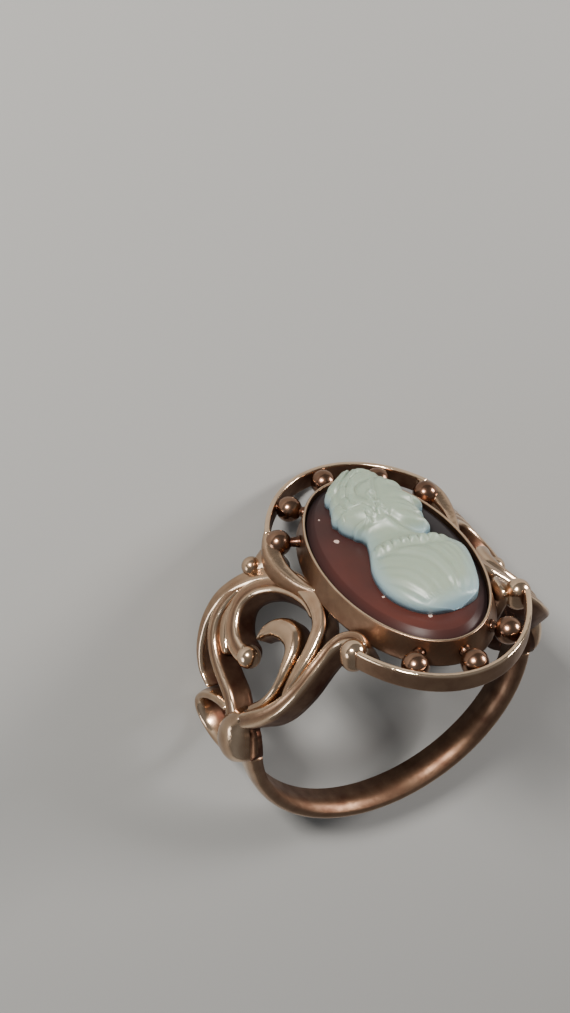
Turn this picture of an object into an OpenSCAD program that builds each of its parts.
// Cameo ring: a pierced, scrolled band with an open gallery and a tall oval bezel, all one soldered
// mount, and a layered cameo in two pieces, the dark ground and the pale bust.
// Each piece is drawn upright, with the finger along Y and the head up, and then laid down on the ring's
// side, where the rail's end and the shoulders' lower loops touch the table and the cameo faces -Y.
// The origin is the middle of the finger hole.

/* [Finger hole] */
// Inner diameter of the band
finger_d = 17; // [15:0.5:20]
// Height of the bezel's rim above the top of the finger hole
head_rise = 1.9; // [1.6:0.05:2.4]

/* [Band] */
// Width of the plain lower band
band_w = 2; // [1.6:0.1:3]
// Thickness of the plain lower band
band_t = 0.85; // [0.7:0.05:1.4]

/* [Bezel] */
// Length of the rim, along the finger
bezel_l = 14; // [12:0.5:16]
// Width of the rim, across the finger
bezel_w = 8.3; // [7:0.1:10]
// Height of the bezel wall
bezel_h = 1.4; // [1.2:0.05:1.6]
// How far the foot of the wall stands out past the rim
bezel_flare = 0.35; // [0.1:0.05:0.6]
// Thickness of the bright rim
rim_t = 0.18; // [0.12:0.02:0.4]
// Width of the ledge that carries the stone
ledge_w = 0.5; // [0.3:0.05:0.8]

/* [Gallery] */
// Gap between the foot of the bezel and the outer rail
rail_gap = 1.4; // [1:0.1:1.8]
// Thickness of the rail
rail_t = 0.32; // [0.25:0.01:0.5]
// Height of the rail
rail_h = 1.1; // [0.6:0.05:1.2]
// Depth of the rail's upper edge below the rim
rail_drop = 0.4; // [0.3:0.02:0.7]
// Diameter of a gallery ball
ball_d = 1.45; // [0.8:0.05:1.5]
// Diameter of the post through a ball
post_d = 0.5; // [0.3:0.05:0.7]

/* [Shoulders] */
// Height of a scroll's ridge above the finger hole
strand_t = 1.4; // [1.1:0.05:1.6]
// Width of a full scroll
strand_w = 1.1; // [0.9:0.05:1.2]
// Reach of the shoulder along the finger, from the middle of the band
reach = 5.9; // [5:0.1:6.5]
// Diameter of the knob on the lower scroll
knob_d = 1.36; // [1.1:0.02:1.5]
// Diameter of the inner scroll's knob
curl_d = 1.35; // [1.1:0.05:1.6]
// Diameter of the ball at the corner of the leaf
corner_d = 1.1; // [0.8:0.05:1.2]

/* [Cameo] */
// Gap between the stone and the metal
stone_gap = 0.04; // [0.02:0.01:0.08]
// Height of the ground's flat top above the rim
ground_rise = 0.12; // [0:0.02:0.3]
// Depth of the ground's bevelled edge
bevel_h = 0.44; // [0.2:0.02:0.6]
// Width of the bevelled edge
bevel_w = 0.5; // [0.3:0.05:0.8]
// Depth of the ledge below the rim
seat_drop = 1.05; // [0.9:0.05:1.2]
// Gap under the bust, filled by its cement
bust_gap = 0.03; // [0.02:0.01:0.06]
// Height of the bust above the ground
bust_h = 1.9; // [1.2:0.1:2.4]
// Length of the bust
bust_l = 11.8; // [10:0.2:12.8]
// Distance of the bust's middle from the middle of the rim
bust_y = 0.55; // [0:0.05:0.6]

/* [Hidden] */
$fn = 96;

finger_r = finger_d / 2;
head_z = finger_r + head_rise;
root_r = 0.96 * finger_r;
ridge_r = finger_r + strand_t;
rim_a = bezel_l / 2;
rim_b = bezel_w / 2;
rail_in = bezel_flare + rail_gap;
rail_out = rail_in + rail_t;
rail_foot = rail_drop + rail_h;
band_foot = finger_r + 0.6 * band_t;
// Angle from the top of the band at which a shoulder meets the foot of the bezel
edge_angle = asin((rim_b + bezel_flare) / ridge_r);
// Places round the oval, in degrees from the side: where the rail starts, and where the balls sit, each
// with how far out its middle is, as a share of the rail's distance
rail_start = 34;
ball_places = [[35, 0.76], [60, 0.6], [-61, 0.6]];

// A scroll's rows are [down, along, half, rise]. down is the share of the way from the bezel (0) to
// the finger's level (1), along is a share of reach, half is a share of strand_w, and rise is a share of strand_t.
CREST = [
    [0.44, -0.43, 0.20, 0.96], [0.36, -0.40, 0.30, 1.00], [0.29, -0.37, 0.36, 1.00], [0.21, -0.33, 0.41, 1.00],
    [0.13, -0.27, 0.45, 1.04], [0.06, -0.18, 0.47, 1.10], [0.02, -0.02, 0.50, 1.16], [0.01, 0.17, 0.50, 1.20],
    [0.02, 0.34, 0.50, 1.16], [0.05, 0.51, 0.50, 1.10], [0.10, 0.67, 0.50, 1.04], [0.19, 0.81, 0.50, 1.00],
    [0.29, 0.91, 0.47, 1.00], [0.41, 0.98, 0.44, 1.00], [0.54, 1.00, 0.38, 0.96], [0.65, 0.98, 0.34, 0.92],
    [0.76, 0.93, 0.28, 0.88], [0.85, 0.83, 0.20, 0.84], [0.89, 0.67, 0.10, 0.80]];
MIDDLE = [
    [0.28, 0.84, 0.25, 0.96], [0.39, 0.88, 0.35, 1.00], [0.50, 0.87, 0.38, 1.00], [0.59, 0.79, 0.38, 1.00],
    [0.66, 0.64, 0.38, 1.00], [0.71, 0.43, 0.40, 0.98], [0.75, 0.25, 0.46, 0.96], [0.82, 0.15, 0.56, 0.94],
    [0.90, 0.09, 0.74, 1.14], [0.98, 0.06, 0.96, 1.24]];
INNER = [
    [0.06, -0.07, 0.25, 0.96], [0.04, 0.09, 0.34, 1.00], [0.05, 0.26, 0.38, 1.00], [0.08, 0.42, 0.42, 1.00],
    [0.13, 0.56, 0.44, 1.00], [0.21, 0.68, 0.46, 1.00], [0.29, 0.73, 0.46, 1.00], [0.36, 0.72, 0.48, 1.00],
    [0.43, 0.65, 0.52, 1.00], [0.48, 0.54, 0.52, 1.00], [0.50, 0.40, 0.50, 0.98], [0.49, 0.27, 0.48, 0.92]];
COMMA = [
    [0.38, 0.28, 0.06, 0.80], [0.32, 0.26, 0.28, 0.92], [0.26, 0.20, 0.50, 1.00], [0.22, 0.09, 0.62, 1.00],
    [0.22, -0.04, 0.60, 1.00], [0.26, -0.15, 0.46, 1.00], [0.34, -0.23, 0.34, 1.00], [0.40, -0.27, 0.28, 1.00],
    [0.47, -0.28, 0.26, 1.00], [0.56, -0.23, 0.28, 0.98], [0.67, -0.10, 0.30, 0.96]];
LOWER = [
    [-0.03, -0.78, 0.30, 1.40], [-0.04, -0.64, 0.38, 1.50], [0.01, -0.51, 0.38, 1.30], [0.08, -0.46, 0.36, 1.10],
    [0.16, -0.47, 0.36, 1.00], [0.24, -0.49, 0.38, 1.00], [0.32, -0.50, 0.40, 1.00], [0.41, -0.48, 0.42, 1.00],
    [0.50, -0.43, 0.44, 1.02], [0.59, -0.34, 0.45, 1.08], [0.67, -0.22, 0.46, 1.16], [0.75, -0.08, 0.42, 1.20]];
LOOP = [
    [0.84, 0.26, 0.25, 0.88], [0.87, 0.45, 0.25, 0.92], [0.93, 0.65, 0.25, 1.00], [1.01, 0.78, 0.27, 1.08],
    [1.10, 0.80, 0.30, 1.12], [1.17, 0.70, 0.32, 1.12], [1.20, 0.53, 0.34, 1.08], [1.18, 0.34, 0.38, 1.00],
    [1.10, 0.16, 0.44, 0.92]];
FOOT = [
    [0.72, -0.08, 0.30, 1.04], [0.80, 0.02, 0.68, 1.18], [0.86, 0.05, 1.04, 1.30], [0.93, 0.06, 1.26, 1.38],
    [1.00, 0.06, 1.32, 1.36], [1.06, 0.05, 1.20, 1.22], [1.11, 0.03, 0.90, 1.00]];
BED = [
    [0.02, 0.20, 0.30, 0.80], [0.04, 0.36, 0.36, 0.84], [0.08, 0.52, 0.40, 0.84], [0.15, 0.67, 0.42, 0.84],
    [0.24, 0.80, 0.44, 0.84], [0.35, 0.84, 0.46, 0.84], [0.46, 0.80, 0.46, 0.84], [0.55, 0.70, 0.40, 0.80],
    [0.61, 0.56, 0.28, 0.76]];
WEB = [
    [0.22, 0.85, 0.40, 0.96], [0.13, 0.85, 0.66, 1.12], [0.06, 0.83, 0.78, 1.36], [0.00, 0.79, 0.70, 1.56]];
// A scroll's outline across itself: [side, height], as shares of its half width and of its height
SECTION = [[1, -1], [1, 0.62], [0.7, 0.92], [0, 1], [-0.7, 0.92], [-1, 0.62], [-1, -1]];

// The leaf's rows are [place, out, half, top, foot]: degrees round the oval, a share of the rail's
// distance, half the leaf's thickness in shares of rail_t, and heights below the rim as shares of bezel_h.
LEAF = [
    [42, 1.08, 0.50, 0.29, 1.09], [37, 1.06, 1.10, 0.32, 1.40], [32, 1.00, 1.65, 0.42, 1.60], [27, 0.92, 1.65, 0.55, 1.70],
    [21, 0.76, 1.35, 0.68, 1.70], [15, 0.54, 1.15, 0.78, 1.60], [10, 0.33, 0.95, 0.84, 1.50], [5, 0.10, 0.60, 0.88, 1.40]];

// The bust's rows run from its base to the top of its hair, and each crosses it from the nape's side to
// the face's: [from x, from y, to x, to y, height], in shares of half bust_l and of bust_h.
BUST = [
    [0.02, -0.99, 0.20, -0.99, 0.26], [-0.10, -0.95, 0.33, -0.94, 0.50], [-0.22, -0.86, 0.41, -0.84, 0.66],
    [-0.31, -0.72, 0.47, -0.70, 0.79], [-0.36, -0.56, 0.52, -0.54, 0.87], [-0.36, -0.40, 0.54, -0.40, 0.87],
    [-0.33, -0.26, 0.49, -0.29, 0.83], [-0.28, -0.15, 0.40, -0.21, 0.77], [-0.24, -0.06, 0.33, -0.15, 0.70],
    [-0.21, 0.02, 0.30, -0.10, 0.66], [-0.19, 0.09, 0.31, -0.07, 0.70], [-0.21, 0.15, 0.37, -0.05, 0.78],
    [-0.28, 0.20, 0.41, -0.02, 0.85], [-0.32, 0.26, 0.41, 0.04, 0.90], [-0.34, 0.32, 0.39, 0.09, 0.93],
    [-0.34, 0.37, 0.43, 0.13, 0.95], [-0.34, 0.41, 0.41, 0.155, 0.96], [-0.34, 0.45, 0.43, 0.185, 0.97],
    [-0.33, 0.49, 0.42, 0.235, 0.98], [-0.33, 0.53, 0.50, 0.27, 0.99], [-0.32, 0.58, 0.47, 0.35, 1.00],
    [-0.31, 0.64, 0.42, 0.45, 1.00], [-0.29, 0.70, 0.44, 0.54, 0.98], [-0.27, 0.76, 0.41, 0.63, 0.94],
    [-0.22, 0.82, 0.37, 0.71, 0.88], [-0.15, 0.88, 0.30, 0.81, 0.80], [-0.06, 0.93, 0.22, 0.89, 0.66],
    [0.03, 0.95, 0.14, 0.94, 0.40]];
BUST_STEPS = 16;

// Lengths and directions
function unit(v) = v / norm(v);
function curve(a, b, c, d, t) =
    (2 * b + (c - a) * t + (2 * a - 5 * b + 4 * c - d) * t * t + (3 * b - a - 3 * c + d) * t * t * t) / 2;
function smooth(rows, steps) = let(last = len(rows) - 1) [
    for (i = [0 : last - 1]) for (j = [0 : steps - 1])
        curve(rows[max(i - 1, 0)], rows[i], rows[i + 1], rows[min(i + 2, last)], j / steps),
    rows[last]];

// A point of the left shoulder, r from the finger's axis
function turn(down) = edge_angle + (90 - edge_angle) * down;
function radial(down) = [-sin(turn(down)), 0, cos(turn(down))];
function shoulder_point(down, along, r) = r * radial(down) + [0, along * reach, 0];

// A point beside the rim's oval, pushed out along its normal and lowered below the rim
function oval(place, out, low) = let(n = unit([cos(place) / rim_b, sin(place) / rim_a, 0]))
    [rim_b * cos(place), rim_a * sin(place), head_z - low] + out * n;

// Triangles round a row of rings, with n points in each
function skin(rings, n, shut) = [
    for (i = [0 : rings - (shut ? 1 : 2)]) for (j = [0 : n - 1])
        let(a = i * n, b = ((i + 1) % rings) * n, k = (j + 1) % n)
            each [[a + j, b + j, b + k], [a + j, b + k, a + k]]];

module sweep(rings) {
    n = len(rings[0]);
    last = (len(rings) - 1) * n;
    polyhedron([for (ring = rings) each ring], concat(skin(len(rings), n, false),
        [[for (j = [0 : n - 1]) j], [for (j = [n - 1 : -1 : 0]) last + j]]));
}

module closed_sweep(rings) {
    n = len(rings[0]);
    polyhedron([for (ring = rings) each ring], skin(len(rings), n, true));
}

// The rings of one scroll, each across its ridge
function scroll_rings(rows) = let(path = smooth(rows, 2), last = len(path) - 1,
    mid = [for (row = path) shoulder_point(row[0], row[1], ridge_r)]) [
    for (i = [0 : last])
        let(row = path[i], ahead = mid[min(i + 1, last)] - mid[max(i - 1, 0)],
            across = unit(cross(radial(row[0]), ahead)), top = finger_r + row[3] * strand_t)
        [for (s = SECTION) let(r = s[1] < 0 ? root_r : finger_r + s[1] * (top - finger_r))
            shoulder_point(row[0], row[1], r) + s[0] * row[2] * strand_w * across]];

// Angle between the finger hole's axis and the vertical, once the ring lies on its side: the table runs
// from the foot of the rail's end to the first point it meets on the way down
function slope(y, z) = atan((rim_a + rail_out - y) / (head_z - rail_foot - z));
lean = min([slope(band_w / 2, -band_foot),
    for (ring = scroll_rings(LOOP)) for (point = ring) slope(point[1], point[2])]);

// The leaf that carries the rail's end down to the crest
module leaf() {
    sweep([for (row = smooth(LEAF, 2)) let(mid = row[1] * rail_in, half = row[2] * rail_t)
        [oval(row[0], mid - half, row[3] * bezel_h), oval(row[0], mid - half, row[4] * bezel_h),
         oval(row[0], mid + half, row[4] * bezel_h), oval(row[0], mid + half, row[3] * bezel_h)]]);
}

module shoulder() {
    for (rows = [CREST, MIDDLE, INNER, COMMA, LOWER, LOOP, FOOT, BED, WEB]) sweep(scroll_rings(rows));
    translate(shoulder_point(0.5, 0.3, finger_r + 0.5 * strand_t)) rotate([0, -turn(0.5), 0]) sphere(d = curl_d);
    translate(shoulder_point(0.16, 0.88, finger_r + strand_t)) rotate([0, -turn(0.16), 0]) sphere(d = corner_d);
    translate(oval(180 + rail_start, 0.9 * rail_in, 0.74 * bezel_h)) {
        sphere(d = knob_d);
        translate([0, 0, -0.3 * bezel_h]) cylinder(d = knob_d, h = 0.3 * bezel_h);
        translate([0, 0, -0.3 * bezel_h]) sphere(d = knob_d);
    }
}

module band() {
    rotate([90, 0, 0]) rotate([0, 0, 170]) rotate_extrude(angle = 200)
        polygon([[root_r, -band_w / 2], [band_foot, -band_w / 2], [finger_r + band_t, -band_w / 4],
            [finger_r + band_t, band_w / 4], [band_foot, band_w / 2], [root_r, band_w / 2]]);
}

module bezel() {
    inner = -rim_t - ledge_w;
    closed_sweep([for (i = [0 : 59]) let(place = 6 * i)
        [oval(place, inner, bezel_h), oval(place, inner, seat_drop), oval(place, -rim_t, seat_drop),
         oval(place, -rim_t, 0), oval(place, -0.3 * rim_t, 0), oval(place, 0, 0.3 * rim_t),
         oval(place, 0.3 * bezel_flare, 0.35 * bezel_h), oval(place, bezel_flare, bezel_h)]]);
}

// One end of the outer rail, from one side of the oval to the other
module rail(from, to) {
    steps = 18;
    sweep([for (i = [0 : steps]) let(place = to + (from - to) * i / steps)
        [oval(place, rail_in, rail_drop), oval(place, rail_in, rail_foot),
         oval(place, rail_out, rail_foot), oval(place, rail_out, rail_drop)]]);
}

// A ball between bezel and rail, and the short post through it
module gallery_ball(place, out) {
    n = unit([cos(place) / rim_b, sin(place) / rim_a, 0]);
    translate(oval(place, 0, rail_drop + 0.4 * rail_h)) rotate([0, 90, atan2(n[1], n[0])]) {
        cylinder(d = post_d, h = rail_in + rail_t / 2);
        translate([0, 0, out * rail_in]) sphere(d = ball_d);
    }
}

module ring_mount() {
    color("rosybrown") difference() {
        union() {
            band();
            bezel();
            rail(rail_start + 4, 180 - rail_start - 4);
            rail(184 + rail_start, 356 - rail_start);
            for (side = [0, 1]) mirror([side, 0, 0]) {
                shoulder();
                mirror([1, 0, 0]) leaf();
                for (ball = ball_places) gallery_ball(ball[0], ball[1]);
            }
            for (end = [-90, 90]) gallery_ball(end, 0.6);
        }
        rotate([90, 0, 0]) cylinder(r = finger_r, h = 4 * reach, center = true);
    }
}

module cameo_ground() {
    side = -rim_t - stone_gap;
    foot = seat_drop - stone_gap;
    color("saddlebrown") sweep([for (level = [
            [side - 0.5 * bevel_w, foot], [side, foot - 0.5 * bevel_w], [side, bevel_h - ground_rise],
            [side - bevel_w, -ground_rise]])
        [for (i = [0 : 47]) oval(7.5 * i, level[0], level[1])]]);
}

// The bust is lofted over its rows, a low wall round its edge and a pillow above it
module cameo_bust() {
    half = bust_l / 2;
    wall = 0.2 * bust_h;
    color("lightblue") translate([0, bust_y, head_z + ground_rise + bust_gap])
        sweep([for (row = smooth(BUST, 2))
            let(from = half * [row[0], row[1]], to = half * [row[2], row[3]])
            [each [for (p = [to, from]) [p[0], p[1], 0]],
             for (i = [0 : BUST_STEPS]) let(u = 2 * i / BUST_STEPS - 1, p = from + (to - from) * (u + 1) / 2)
                [p[0], p[1], wall + (row[4] * bust_h - wall) * sqrt(1 - pow(abs(u), 3))]]]);
}

// Lays the ring down on its side
module laid() {
    rotate([0, 0, 180]) rotate([lean - 90, 0, 0]) children();
}

laid() ring_mount();
laid() cameo_ground();
laid() cameo_bust();
